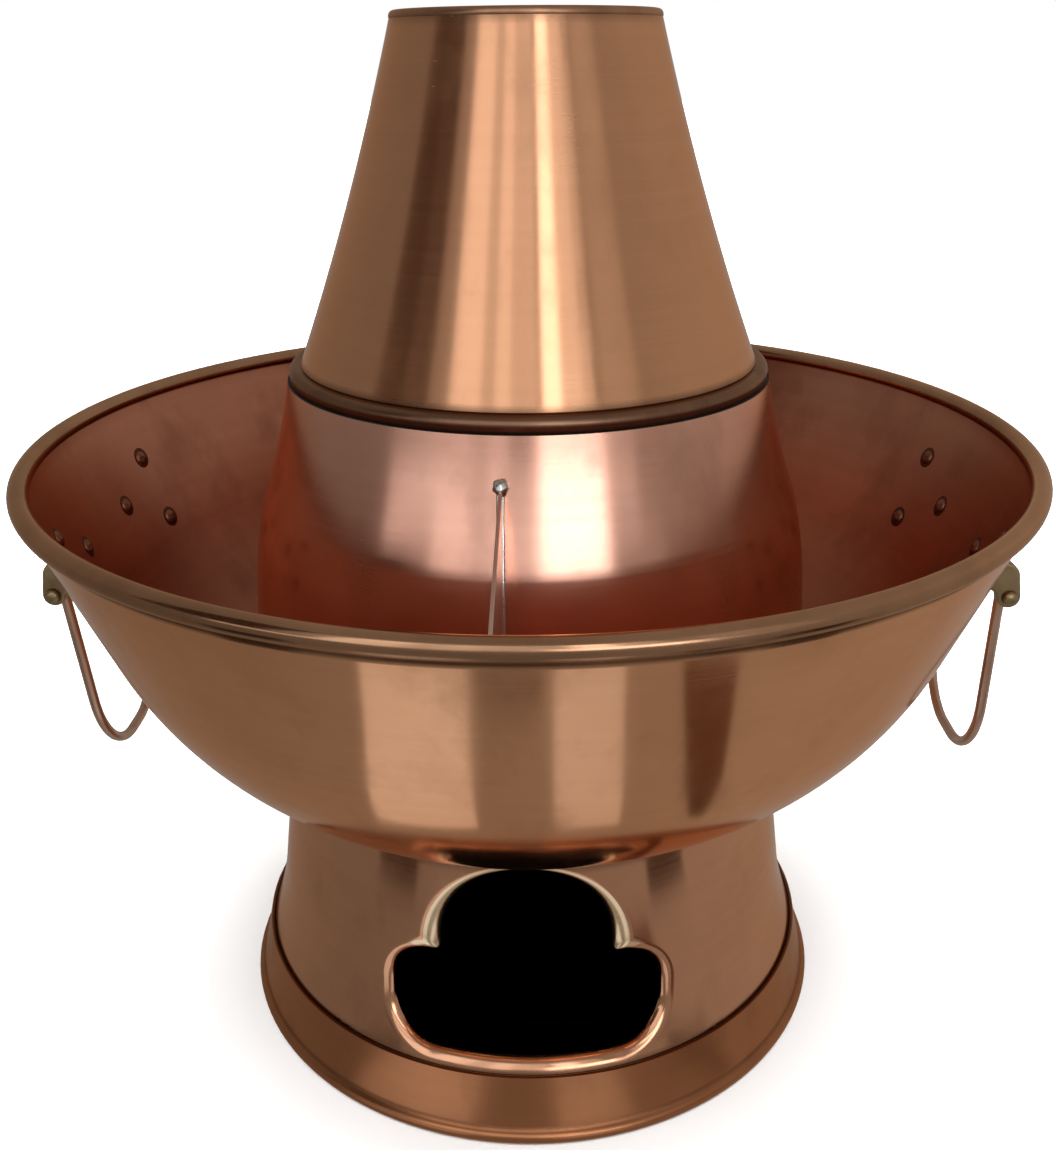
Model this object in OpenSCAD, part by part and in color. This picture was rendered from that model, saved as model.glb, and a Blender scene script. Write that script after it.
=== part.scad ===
// Charcoal hot pot of spun copper: a ring-shaped moat bowl around a fire tube, on a vented foot,
// with a lift-off chimney, two soup dividers, a loose charcoal grate and two swinging wire handles.
// The pot's axis is Z and the table is z = 0. The vent faces -Y and the handles hang on -X and +X.

/* [Moat bowl] */
// Outer radius of the rolled rim
rim_r = 160; // [157:1:163]
// Height of the rolled rim's centre above the table
rim_z = 199; // [197:1:201]
// Radius of the rolled rim's section
bead_r = 3; // [2.8:0.1:3.2]
// Thickness of the copper sheet of the bowl, fire tube and foot
sheet = 1.2; // [1:0.1:1.3]
// Lean of the straight upper wall, in degrees from plumb
wall_lean = 22.2; // [21.6:0.2:22.8]
// Height at which the straight wall runs into the round belly
belly_top_z = 150; // [149:1:151]
// Radius of the belly's curve
belly_r = 112; // [111:1:113]
// Radius of the flat middle of the bowl's floor
floor_r = 78; // [77:1:79]
// Radius of the air hole through the floor
air_hole_r = 58; // [52:1:60]

/* [Fire tube] */
// Outer radius where the tube stands on the bowl
tube_foot_r = 94.8; // [94:0.2:95.6]
// Outer radius at the bend between the straight body and the cone
tube_bend_r = 90.2; // [89.6:0.2:90.8]
// Height of that bend
tube_bend_z = 170; // [168:1:172]
// Outer radius of the tube's mouth
tube_mouth_r = 76; // [75.8:0.1:76.2]
// Height of the mouth
tube_mouth_z = 222; // [220:1:223]

/* [Chimney] */
// Outer radius of the lower edge
chimney_foot_r = 71.6; // [71.4:0.1:72]
// Outer radius of the hem round the top opening
chimney_top_r = 39.6; // [36:0.4:44]
// Height of the hem's top above the table
chimney_top_z = 327; // [310:1:340]
// How far the chimney's wall bows in towards the axis
chimney_bow = 1.6; // [0:0.2:3]
// Thickness of the chimney's sheet
chimney_sheet = 0.8; // [0.6:0.1:0.8]

/* [Foot] */
// Outer radius of the skirt under the bowl
skirt_top_r = 84.4; // [83.6:0.2:85]
// Outer radius of the skirt where it begins to flare
skirt_waist_r = 90.2; // [89.8:0.2:90.6]
// Height of the crease between the skirt and the foot band
crease_z = 22; // [21:1:23]
// Outer radius of the band's rolled lower edge
foot_r = 103.6; // [103.2:0.2:105]

/* [Vent] */
// Radius of the vent's upper lobe
vent_top_r = 28.2; // [25:0.2:28.2]
// Height of the upper lobe's centre
vent_top_z = 61.4; // [58:0.2:61.4]
// Radius of the round ends of each lower lobe
vent_side_r = 13.6; // [12:0.2:14.4]
// Distance of each lower lobe's centre from the middle
vent_side_x = 29.8; // [26:0.2:30]
// Height of each lower lobe
vent_side_h = 32.4; // [30:0.2:33]

/* [Dividers] */
// Distance of each divider's plane from the pot's axis
divider_off = 5.8; // [0:0.2:8]
// Height of a divider's top edge at the fire tube
divider_tube_z = 209; // [190:1:212]
// Height of a divider's top edge at the bowl's wall
divider_wall_z = 192; // [180:1:193]

/* [Handles] */
// Distance of the handles' pivot from the pot's axis
pivot_r = 150; // [149.6:0.2:150.4]
// Height of the pivot
pivot_z = 158; // [157:0.5:159]
// Drop of a handle below its pivot
drop = 66; // [58:1:68]
// Distance of each handle leg from the handle's middle
leg_y = 28; // [26:0.5:29]
// Radius of the handle's two lower corners
corner_r = 24; // [18:1:25]
// Radius of the handle's wire
wire_r = 1.7; // [1.4:0.1:1.8]
// How far the left handle leans in towards the bowl, in degrees
left_lean = 4; // [0:1:8]
// How far the right handle leans in towards the bowl, in degrees
right_lean = 1; // [0:1:8]

/* [Hidden] */
$fn = 96;

copper = [0.72, 0.45, 0.32];
dull_copper = [0.55, 0.32, 0.24];
seam_brown = [0.27, 0.17, 0.12];
brass = [0.66, 0.56, 0.33];
solder = [0.75, 0.75, 0.76];
iron = [0.2, 0.19, 0.18];

// Gap left between soldered or brazed faces
joint_gap = 0.05;
// Gap left round the dividers, whose flat faces meet round ones
plate_gap = 0.1;
far = 400;

// Points of an arc about c, from angle a to angle b
function arc(c, r, a, b, n = 16) =
    [for (i = [0:n]) let (t = a + (b - a) * i / n) [c[0] + r * cos(t), c[1] + r * sin(t)]];
function reversed(list) = [for (i = [len(list) - 1:-1:0]) list[i]];
function shifted(list, dx) = [for (p = list) [p[0] + dx, p[1]]];
// Section points on the dividers' plane, from their distances to the pot's axis
function off_axis(list) = [for (p = list) [sqrt(pow(p[0], 2) - pow(divider_off, 2)), p[1]]];
// Closed outline of a sheet whose outer face is given; the thickness is taken level, towards the axis
function sheet_outline(outer, t) = concat(outer, reversed(shifted(outer, -t)));

// Bowl. The wall's outer face runs straight into the underside of the rolled rim.
rim_c = [rim_r - bead_r, rim_z];
wall_end_z = rim_z - 2;
function wall_r(z) = rim_c[0] + (z - (rim_z - bead_r)) * tan(wall_lean);
belly_c = [wall_r(belly_top_z) - belly_r * cos(wall_lean), belly_top_z + belly_r * sin(wall_lean)];
belly_in_r = belly_r - sheet;
wall_in = sheet / cos(wall_lean);
floor_z = belly_c[1] - sqrt(pow(belly_r, 2) - pow(floor_r - belly_c[0], 2));
floor_top_z = floor_z + sheet;
function belly_under_z(r) = belly_c[1] - sqrt(pow(belly_r, 2) - pow(r - belly_c[0], 2));
function belly_inside_z(r) = belly_c[1] - sqrt(pow(belly_in_r, 2) - pow(r - belly_c[0], 2));
bowl_outer = concat(
    [[wall_r(wall_end_z), wall_end_z]],
    arc(belly_c, belly_r, -wall_lean, -asin((belly_c[1] - floor_z) / belly_r), 24));
bowl_inner = concat(
    [[wall_r(wall_end_z) - wall_in, wall_end_z]],
    arc(belly_c, belly_in_r, -wall_lean, -asin((belly_c[1] - floor_top_z) / belly_in_r), 24));

// Fire tube: a body that narrows a little, a bend of large radius and a cone up to the mouth
tube_foot = [tube_foot_r, belly_inside_z(tube_foot_r) + joint_gap];
tube_bend = [tube_bend_r, tube_bend_z];
tube_mouth = [tube_mouth_r, tube_mouth_z];
body_lean = atan((tube_foot[0] - tube_bend[0]) / (tube_bend[1] - tube_foot[1]));
cone_lean = atan((tube_bend[0] - tube_mouth[0]) / (tube_mouth[1] - tube_bend[1]));
bend_r = 150;
bend_reach = bend_r * tan((cone_lean - body_lean) / 2);
bend_start = tube_bend + bend_reach * [sin(body_lean), -cos(body_lean)];
bend_c = bend_start - bend_r * [cos(body_lean), sin(body_lean)];
tube_outer = concat([tube_foot], arc(bend_c, bend_r, body_lean, cone_lean, 12), [tube_mouth]);
function tube_r(z) = lookup(z, [for (p = tube_outer) [p[1], p[0]]]);

// Chimney seat: a brazed ring on the tube's mouth with a level top
seat_r = 2.3;
seat_c = [tube_mouth_r - 2.9, tube_mouth_z + seat_r + joint_gap];
seat_bore_r = 70.6;
seat_shoulder_r = tube_mouth_r - 0.8;
seat_top_z = seat_c[1] + seat_r;

// Chimney
chimney_foot_z = seat_top_z + joint_gap;
hem_r = 1.6;
hem_bore_r = 0.8;
hem_c = [chimney_top_r - hem_r, chimney_top_z - hem_r];
chimney_neck = hem_c + [hem_r - 0.1, -0.6];
chimney_foot = [chimney_foot_r, chimney_foot_z];
bow_steps = 12;
chimney_outer = [for (i = [0:bow_steps]) let (t = i / bow_steps)
    chimney_foot + (chimney_neck - chimney_foot) * t - [4 * chimney_bow * t * (1 - t), 0]];
spigot_r = chimney_foot_r - 1.7;
spigot_depth = 20;
spigot_rise = 2;

// Foot. The skirt stands on the ash floor inside the foot band.
skirt_top_z = belly_under_z(skirt_top_r - sheet) - joint_gap;
waist_z = 46;
flare_r = 100;
skirt_lean = atan((skirt_waist_r - skirt_top_r) / (skirt_top_z - waist_z));
flare_lean = asin(sin(skirt_lean) + (waist_z - crease_z) / flare_r);
flare_c = [skirt_waist_r + flare_r * cos(skirt_lean), waist_z + flare_r * sin(skirt_lean)];
flare_points = arc(flare_c, flare_r, 180 + flare_lean, 180 + skirt_lean, 10);
skirt_foot_r = flare_points[0][0];
ash_floor_t = 1;
ash_floor_z = crease_z - 4;
skirt_foot_z = ash_floor_z + ash_floor_t + joint_gap;
skirt_outer = concat([[skirt_foot_r, skirt_foot_z]], flare_points, [[skirt_top_r, skirt_top_z]]);

roll_r = 2.4;
roll_bore_r = 1.2;
roll_c = [foot_r - roll_r, 2.2];
band_top_r = skirt_foot_r + sheet + 0.2;
band_knee_z = 10;
band_knee_r = band_top_r + 2.4;
band_end_z = roll_c[1] + (roll_r + roll_bore_r) / 2;
band_outer = [[roll_c[0] + sheet / 2, band_end_z], [band_knee_r, band_knee_z], [band_top_r, crease_z]];
ash_floor_r = band_top_r - sheet + (crease_z - ash_floor_z) * (band_knee_r - band_top_r)
    / (crease_z - band_knee_z) - 0.25;

// Vent
vent_bottom_z = 26;
vent_frame_t = 0.85;
frame_proud = 0.9;
frame_depth = 4;

// Lugs: a plate against the bowl's wall, held by three rivets, with an ear for the handle's pin
elbow_r = 3;
ear_y = leg_y + elbow_r + 0.5;
ear_t = 4.5;
eye_r = 3.6;
bulb_r = 5.2;
bulb_at = [-2.6, 6.4];
pin_gap = 0.05;
pin_head_r = 2.3;
pin_head_t = 1.6;
lug_plate_t = 1.5;
lug_corner_r = 5.2;
lug_mid_z = pivot_z + 10;
lug_turn = asin((ear_y + ear_t / 2) / wall_r(lug_mid_z));
inner_rivet = [-14, 0];
upper_rivet = [7, 11];
lower_rivet = [7, -11];
rivet_spots = [inner_rivet, upper_rivet, lower_rivet];
rivet_r = 1.5;
rivet_head_r = 2.9;
rivet_head_h = 1.4;

// Grate
grate_r = 66;
grate_t = 5;
grate_rim = 8;
slot_w = 6;
slot_pitch = 11;

module revolve() {
    rotate_extrude() children();
}

module ring_2d(at, outer_r, bore_r) {
    translate(at) difference() {
        circle(outer_r);
        circle(bore_r);
    }
}

// Ball-cap head of height h on a circle of radius r, standing on z = 0
module cap(r, h) {
    ball_r = (r * r + h * h) / (2 * h);
    intersection() {
        translate([0, 0, h - ball_r]) sphere(ball_r);
        translate([0, 0, h]) cube([4 * r, 4 * r, 2 * h], center = true);
    }
}

module bowl_shell() {
    section = concat(bowl_outer, [[air_hole_r, floor_z], [air_hole_r, floor_top_z]], reversed(bowl_inner));
    color(copper) difference() {
        union() {
            revolve() polygon(section);
            revolve() ring_2d(rim_c, bead_r, bead_r - sheet);
        }
        all_rivet_places() translate([0, 0, -10]) cylinder(r = rivet_r + joint_gap, h = 20);
    }
}

module rim_wire() {
    color(copper) revolve() translate(rim_c) circle(bead_r - sheet - joint_gap);
}

module fire_tube() {
    color(dull_copper) revolve() polygon(sheet_outline(tube_outer, sheet));
}

module chimney_seat() {
    color(seam_brown) revolve() {
        translate(seat_c) circle(seat_r);
        translate([seat_bore_r, seat_c[1] - seat_r]) square([seat_c[0] - seat_bore_r, 2 * seat_r]);
        translate([seat_bore_r, seat_c[1] - seat_r]) square([seat_shoulder_r - seat_bore_r, seat_r]);
    }
}

// Plate t thick that fills the moat from the floor up to a sloping top edge, drawn outwards along +X.
// gap is what it keeps from the tube, the floor and the wall.
module divider(t = 1, gap = plate_gap) {
    foot = [tube_foot_r + gap, belly_inside_z(tube_foot_r + gap) + gap];
    top_rise = plate_gap - gap;
    tube_corner = [tube_r(divider_tube_z) + gap, divider_tube_z + top_rise];
    wall_corner = [wall_r(divider_wall_z) - wall_in - gap, divider_wall_z + top_rise];
    inner_edge = [for (p = tube_outer) if (p[1] > foot[1] + 1 && p[1] < divider_tube_z - 1) p];
    outer_edge = [for (p = bowl_inner) if (p[0] > foot[0] + 1 && p[1] < divider_wall_z - 1) p];
    rotate([90, 0, 0]) linear_extrude(t, center = true) polygon(off_axis(concat(
        [foot],
        shifted(inner_edge, gap),
        [tube_corner, wall_corner],
        shifted(outer_edge, -gap))));
}

// The front divider runs out along -Y beside the axis, the back one along +Y on its other side
module divider_place(back) {
    rotate([0, 0, 180 * back]) translate([-divider_off, 0, 0]) rotate([0, 0, -90]) children();
}

module divider_front() {
    color(copper) divider_place(0) divider();
}

module divider_back() {
    color(copper) divider_place(1) divider();
}

// Bead of solder over each divider's top corner on the fire tube
module divider_solder() {
    bead = 2.8;
    corner = off_axis([[tube_r(divider_tube_z), divider_tube_z]])[0];
    tube_face = concat([[0, tube_foot[1]]], shifted(tube_outer, joint_gap), [[0, tube_mouth[1]]]);
    color(solder) difference() {
        for (back = [0, 1]) divider_place(back) translate([corner[0] + 0.8, 0, corner[1]]) sphere(bead);
        revolve() polygon(tube_face);
        for (back = [0, 1]) divider_place(back) divider(1 + 2 * joint_gap, 0);
    }
}

// Cloud outline of the vent: one lobe above two, with a level bottom, grown all round by g
module vent_outline(g) {
    low_z = vent_bottom_z + vent_side_r;
    high_z = vent_bottom_z + vent_side_h - vent_side_r;
    half_w = vent_side_x + vent_side_r + g;
    translate([0, vent_top_z]) circle(vent_top_r + g);
    for (side = [-1, 1], z = [low_z, high_z]) translate([side * vent_side_x, z]) circle(vent_side_r + g);
    translate([-half_w, low_z]) square([2 * half_w, high_z - low_z]);
    translate([-vent_side_x, vent_bottom_z - g]) square([2 * vent_side_x, high_z - vent_bottom_z + g]);
}

module vent_prism(g) {
    rotate([90, 0, 0]) linear_extrude(far) vent_outline(g);
}

module foot_skirt() {
    color(copper) difference() {
        revolve() polygon(sheet_outline(skirt_outer, sheet));
        vent_prism(vent_frame_t + joint_gap);
    }
}

module vent_frame() {
    frame_outer = shifted(skirt_outer, frame_proud);
    color(copper) intersection() {
        revolve() polygon(sheet_outline(frame_outer, frame_depth));
        difference() {
            vent_prism(vent_frame_t);
            translate([0, 1, 0]) vent_prism(0);
        }
    }
}

module foot_band() {
    color(copper) revolve() intersection() {
        union() {
            polygon(sheet_outline(band_outer, sheet));
            ring_2d(roll_c, roll_r, roll_bore_r);
        }
        square([far, far]);
    }
}

module foot_wire() {
    color(copper) revolve() translate(roll_c) circle(roll_bore_r - joint_gap);
}

module ash_floor() {
    color(dull_copper) translate([0, 0, ash_floor_z]) cylinder(r = ash_floor_r, h = ash_floor_t);
}

// Places its children on the bowl's outer wall, +Z square to the wall and outwards.
// side is -1 for the left handle and 1 for the right; far_end is -1 for the front lug and 1 for the back.
module rivet_place(side, far_end, spot) {
    z = lug_mid_z + spot[1];
    turn = lug_turn + spot[0] / wall_r(z) * 180 / PI;
    mirror([side < 0 ? 1 : 0, 0, 0]) rotate([0, 0, far_end * turn]) translate([wall_r(z), 0, z])
        rotate([0, 90 + wall_lean, 0]) children();
}

module all_rivet_places() {
    for (side = [-1, 1], far_end = [-1, 1], spot = rivet_spots) rivet_place(side, far_end, spot) children();
}

// Solid of revolution inside the bowl wall's outer face moved out by g
module wall_plug(g) {
    low_z = lug_mid_z - 24;
    high_z = lug_mid_z + 24;
    grow = g / cos(wall_lean);
    revolve() polygon([
        [0, low_z],
        [wall_r(low_z) + grow, low_z],
        [wall_r(high_z) + grow, high_z],
        [0, high_z]
    ]);
}

// Triangle with round corners: its edges moved out to touch the corner circles
module lug_plate_outline() {
    union() {
        polygon([for (i = [0:2], end = [0, 1])
            let (
                a = rivet_spots[i],
                b = rivet_spots[(i + 1) % 3],
                outwards = [a[1] - b[1], b[0] - a[0]] / norm(b - a)
            )
            (end == 0 ? a : b) + outwards * lug_corner_r]);
        for (spot = rivet_spots) translate(spot) circle(lug_corner_r);
    }
}

// Ring of the plate's thickness that lies against the bowl's wall
module lug_plate_band() {
    low_z = lug_mid_z - 24;
    high_z = lug_mid_z + 24;
    inner = joint_gap / cos(wall_lean);
    outer = inner + lug_plate_t / cos(wall_lean);
    revolve() polygon([
        [wall_r(low_z) + inner, low_z],
        [wall_r(low_z) + outer, low_z],
        [wall_r(high_z) + outer, high_z],
        [wall_r(high_z) + inner, high_z]
    ]);
}

module lug_plate() {
    intersection() {
        lug_plate_band();
        rotate([0, 0, lug_turn]) translate([rim_r / 2, 0, lug_mid_z]) rotate([90, 0, 90])
            linear_extrude(rim_r) lug_plate_outline();
    }
}

// Hooked ear: a bulb that leaves the plate and turns down round the eye
module lug_ear() {
    bulb = [pivot_r, pivot_z] + bulb_at;
    root_x = wall_r(pivot_z) - 8;
    difference() {
        translate([0, ear_y + ear_t, 0]) rotate([90, 0, 0]) linear_extrude(ear_t) {
            translate([pivot_r, pivot_z]) circle(eye_r);
            translate(bulb) circle(bulb_r);
            polygon([
                [pivot_r - eye_r, pivot_z],
                [pivot_r + eye_r, pivot_z],
                bulb + [bulb_r, 0],
                bulb - [bulb_r, 0]
            ]);
            polygon([
                [root_x, bulb[1] - 4],
                bulb - [bulb_r, 4],
                bulb,
                bulb + [0, bulb_r],
                [root_x, bulb[1] + bulb_r]
            ]);
        }
        wall_plug(joint_gap + lug_plate_t / 2);
    }
}

module lug(side, far_end) {
    color(brass) difference() {
        mirror([side < 0 ? 1 : 0, 0, 0]) mirror([0, far_end < 0 ? 1 : 0, 0]) difference() {
            union() {
                lug_plate();
                lug_ear();
            }
            translate([pivot_r, far, pivot_z]) rotate([90, 0, 0]) cylinder(r = wire_r + pin_gap, h = far);
        }
        for (spot = rivet_spots) rivet_place(side, far_end, spot)
            translate([0, 0, -5]) cylinder(r = rivet_r + joint_gap, h = 10);
    }
}

module lug_left_front() {
    lug(-1, -1);
}

module lug_left_back() {
    lug(-1, 1);
}

module lug_right_front() {
    lug(1, -1);
}

module lug_right_back() {
    lug(1, 1);
}

// Rivets through the bowl's wall and the lug plates, headed inside the bowl and outside the plate
module lug_rivets() {
    outside = lug_plate_t + 2 * joint_gap;
    inside = -sheet - joint_gap;
    color(copper) all_rivet_places() {
        translate([0, 0, inside]) cylinder(r = rivet_r, h = outside - inside);
        translate([0, 0, outside]) cap(rivet_head_r, rivet_head_h);
        translate([0, 0, inside]) mirror([0, 0, 1]) cap(rivet_head_r, rivet_head_h);
    }
}

module charcoal_grate() {
    open_r = grate_r - grate_rim;
    color(iron) translate([0, 0, floor_top_z + joint_gap]) linear_extrude(grate_t) difference() {
        circle(grate_r);
        intersection() {
            circle(open_r);
            for (i = [-5:5], half = [0, 1]) mirror([0, half])
                translate([i * slot_pitch - slot_w / 2, slot_w / 2]) square([slot_w, grate_r]);
        }
    }
}

module chimney_shell() {
    color(copper) revolve() {
        polygon(sheet_outline(chimney_outer, chimney_sheet));
        ring_2d(hem_c, hem_r, hem_bore_r);
    }
}

// Sleeve inside the chimney's foot that drops into the fire tube's mouth
module chimney_spigot() {
    color(dull_copper) revolve()
        translate([spigot_r - 1, seat_top_z - spigot_depth]) square([1, spigot_depth + spigot_rise]);
}

module chimney_wire() {
    color(seam_brown) revolve() translate(hem_c) circle(hem_bore_r - joint_gap);
}

module wire_bend(r) {
    rotate_extrude(angle = 90) translate([r, 0]) circle(wire_r);
}

// Half of a handle for y > 0, hanging from its pivot at the origin in the plane x = 0
module handle_half() {
    pin_end = ear_y + ear_t + 0.4;
    translate([0, pin_end + pin_head_t, 0]) rotate([90, 0, 0]) cylinder(r = pin_head_r, h = pin_head_t);
    translate([0, pin_end, 0]) rotate([90, 0, 0]) cylinder(r = wire_r, h = pin_end - leg_y - elbow_r);
    translate([0, leg_y + elbow_r, -elbow_r]) rotate([0, 90, 0]) rotate([0, 0, 180]) wire_bend(elbow_r);
    translate([0, leg_y, corner_r - drop]) cylinder(r = wire_r, h = drop - corner_r - elbow_r);
    translate([0, leg_y - corner_r, corner_r - drop]) rotate([0, 90, 0]) wire_bend(corner_r);
    translate([0, leg_y - corner_r, -drop]) rotate([90, 0, 0]) cylinder(r = wire_r, h = leg_y - corner_r);
}

module handle(side, lean) {
    color(copper) translate([side * pivot_r, 0, pivot_z]) rotate([0, side * lean, 0]) {
        handle_half();
        mirror([0, 1, 0]) handle_half();
    }
}

module handle_left() {
    handle(-1, left_lean);
}

module handle_right() {
    handle(1, right_lean);
}

bowl_shell();
rim_wire();
fire_tube();
chimney_seat();
divider_front();
divider_back();
divider_solder();
foot_skirt();
vent_frame();
foot_band();
foot_wire();
ash_floor();
lug_left_front();
lug_left_back();
lug_right_front();
lug_right_back();
lug_rivets();
charcoal_grate();
chimney_shell();
chimney_spigot();
chimney_wire();
handle_left();
handle_right();
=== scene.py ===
"""Looks of a spun copper charcoal hot pot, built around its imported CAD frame.

Shapes are worked out in millimetres and turned into metres where a mesh is made.
The pot's axis is Z, the vent faces -Y and the handles hang on -X and +X.
"""
import math

import bmesh
import bpy
from mathutils import Matrix, Vector, noise


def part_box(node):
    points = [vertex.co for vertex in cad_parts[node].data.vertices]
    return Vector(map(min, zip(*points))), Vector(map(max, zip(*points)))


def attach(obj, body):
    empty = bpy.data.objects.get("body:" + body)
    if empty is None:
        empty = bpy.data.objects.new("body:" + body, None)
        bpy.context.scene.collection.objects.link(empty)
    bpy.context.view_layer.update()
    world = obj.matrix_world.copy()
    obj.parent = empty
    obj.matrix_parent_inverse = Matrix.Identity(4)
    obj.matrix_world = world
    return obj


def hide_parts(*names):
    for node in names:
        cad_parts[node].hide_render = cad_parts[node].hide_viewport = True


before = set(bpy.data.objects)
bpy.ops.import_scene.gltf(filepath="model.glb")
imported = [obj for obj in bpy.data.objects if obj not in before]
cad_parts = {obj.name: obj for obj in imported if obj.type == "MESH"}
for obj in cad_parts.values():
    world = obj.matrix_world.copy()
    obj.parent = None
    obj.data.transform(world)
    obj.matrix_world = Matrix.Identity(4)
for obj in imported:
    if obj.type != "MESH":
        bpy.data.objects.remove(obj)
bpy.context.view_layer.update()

MM = 0.001
TINY = 1e-6
SEGMENTS = 256  # round every turned piece


# ---------------------------------------------------------------- measures of the frame

def box_mm(node):
    """Lowest and highest corner of a CAD node, in millimetres."""
    low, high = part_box(node)
    return low / MM, high / MM


bowl_low, bowl_high = box_mm("bowl_shell")
tube_low, tube_high = box_mm("fire_tube")
seat_low, seat_high = box_mm("chimney_seat")
chimney_low, chimney_high = box_mm("chimney_shell")
spigot_low, spigot_high = box_mm("chimney_spigot")
skirt_low, skirt_high = box_mm("foot_skirt")
_, band_high = box_mm("foot_band")
ash_low, ash_high = box_mm("ash_floor")

SHEET = 1.2  # thickness of the copper sheet
BEAD_R = 3.0  # the rolled rim's section
RIM_C = (bowl_high.x - BEAD_R, bowl_high.z - BEAD_R)
WALL_LEAN = math.radians(22.2)
BELLY_TOP_Z = 150.0  # where the straight wall meets the round belly
BELLY_R = 112.0
FLOOR_Z = bowl_low.z
FLOOR_R = 78.0  # the flat of the bowl's floor
AIR_HOLE_R = 58.0


def wall_r(z):
    """Outer radius of the bowl's straight upper wall."""
    return RIM_C[0] + (z - RIM_C[1] + BEAD_R) * math.tan(WALL_LEAN)


BELLY_C = (wall_r(BELLY_TOP_Z) - BELLY_R * math.cos(WALL_LEAN), BELLY_TOP_Z + BELLY_R * math.sin(WALL_LEAN))


def belly_z(r, radius=BELLY_R):
    """Height of the round belly at a distance r from the axis."""
    return BELLY_C[1] - math.sqrt(radius ** 2 - (r - BELLY_C[0]) ** 2)


TUBE_BEND = (90.2, 170.0)  # where the fire tube's cone would start, were the bend sharp
TUBE_BEND_R = 150.0
TUBE_MOUTH_R = 76.0
TUBE_SAG = 0.9  # how far the cone sinks in at its middle
SKIRT_TOP_R = 84.4
WAIST = (90.2, 46.0)  # where the skirt's straight part turns into its flare
FLARE_R = 100.0
CREASE_Z = band_high.z
ROLL_R = 2.4
VENT_TOP = (0.0, 61.4, 28.2)  # the upper lobe's centre and radius
VENT_SIDE_R = 13.6
VENT_SIDE_X = 29.8
VENT_SIDE_H = 32.4
VENT_BOTTOM_Z = 26.0
VENT_MID = (0.0, 50.0)


# ---------------------------------------------------------------- outlines and meshes

def arc(centre, radius, start, end, steps):
    """Points of an arc, with its angles in degrees."""
    angles = [math.radians(start + (end - start) * i / steps) for i in range(steps + 1)]
    return [(centre[0] + radius * math.cos(a), centre[1] + radius * math.sin(a)) for a in angles]


def split(a, b, steps):
    """Points from a to b, both included."""
    return [(a[0] + (b[0] - a[0]) * i / steps, a[1] + (b[1] - a[1]) * i / steps) for i in range(steps + 1)]


class Outline:
    """Section of a turned piece: points (distance from the axis, height), each with a material and a
    darkening that stands for grime and painted shade.
    """

    def __init__(self):
        self.points, self.slots, self.grime_and_shade = [], [], []

    def add(self, points, slot=0, grime_and_shade=0.0, grime_and_shade_end=None):
        """Adds points that share a material; the darkening for grime and painted shade runs evenly from its
        first value to the end value.
        """
        last = grime_and_shade if grime_and_shade_end is None else grime_and_shade_end
        for i, point in enumerate(points):
            share = i / max(1, len(points) - 1)
            if self.points and math.dist(point, self.points[-1]) < 0.01:
                continue
            self.points.append(point)
            self.slots.append(slot)
            self.grime_and_shade.append(grime_and_shade + (last - grime_and_shade) * share)


def add_attribute(mesh, name, values):
    """Gives each vertex a value that the materials read."""
    layer = mesh.attributes.new(name, "FLOAT", "POINT")
    layer.data.foreach_set("value", values)


def finish_piece(name, mesh, materials, body, replaced, sharp):
    """Makes an object of a mesh, smooth but for edges over sharp degrees, that stands for CAD nodes."""
    mesh.polygons.foreach_set("use_smooth", [True] * len(mesh.polygons))
    mesh.set_sharp_from_angle(angle=math.radians(sharp))
    for material in materials:
        mesh.materials.append(material)
    piece = bpy.data.objects.new(name, mesh)
    bpy.context.scene.collection.objects.link(piece)
    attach(piece, body)
    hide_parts(*replaced)


def lathe(name, outline, materials, body, replaced, sharp):
    """Piece made by turning a closed outline round the pot's axis."""
    points = outline.points
    count = len(points)
    along, total = [], 0.0
    for i, point in enumerate(points):
        total += math.dist(point, points[i - 1]) if i else 0.0
        along.append(total * MM)
    verts, alongs, grime_and_shade_values = [], [], []
    for s in range(SEGMENTS):
        turn = 2 * math.pi * s / SEGMENTS
        c, n = math.cos(turn), math.sin(turn)
        verts += [(r * c * MM, r * n * MM, z * MM) for r, z in points]
        alongs += along
        grime_and_shade_values += outline.grime_and_shade
    faces, slots = [], []
    for s in range(SEGMENTS):
        here, there = s * count, (s + 1) % SEGMENTS * count
        for i in range(count):
            j = (i + 1) % count
            faces.append((here + i, there + i, there + j, here + j))
            slots.append(outline.slots[j])
    mesh = bpy.data.meshes.new(name)
    mesh.from_pydata(verts, [], faces)
    mesh.polygons.foreach_set("material_index", slots)
    add_attribute(mesh, "along", alongs)
    add_attribute(mesh, "grime_and_shade", grime_and_shade_values)
    bm = bmesh.new()
    bm.from_mesh(mesh)
    bmesh.ops.recalc_face_normals(bm, faces=bm.faces)
    bm.to_mesh(mesh)
    bm.free()
    finish_piece(name, mesh, materials, body, replaced, sharp)


def join(bm, a, b, slot=0, closed=True):
    """Adds the faces between two rows of vertices; slot is a number or a function of the place in the row."""
    for k in range(len(a) if closed else len(a) - 1):
        m = (k + 1) % len(a)
        bm.faces.new((a[k], a[m], b[m], b[k])).material_index = slot(k) if callable(slot) else slot


def swept(bm, path, radii, sides=16, slot=0):
    """Adds a closed tube along a path of points in millimetres to a bmesh."""
    rings = []
    tangent = (path[1] - path[0]).normalized()
    across = tangent.orthogonal().normalized()
    for i, point in enumerate(path):
        ahead = path[min(i + 1, len(path) - 1)] - path[max(i - 1, 0)]
        turned = ahead.normalized()
        across = (tangent.rotation_difference(turned) @ across).normalized()
        tangent = turned
        other = tangent.cross(across)
        ring = []
        for k in range(sides):
            a = 2 * math.pi * k / sides
            offset = (across * math.cos(a) + other * math.sin(a)) * radii[i]
            ring.append(bm.verts.new((point + offset) * MM))
        rings.append(ring)
    for a, b in zip(rings, rings[1:]):
        join(bm, a, b, slot)
    for ring in (rings[0][::-1], rings[-1]):
        bm.faces.new(ring).material_index = slot


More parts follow.
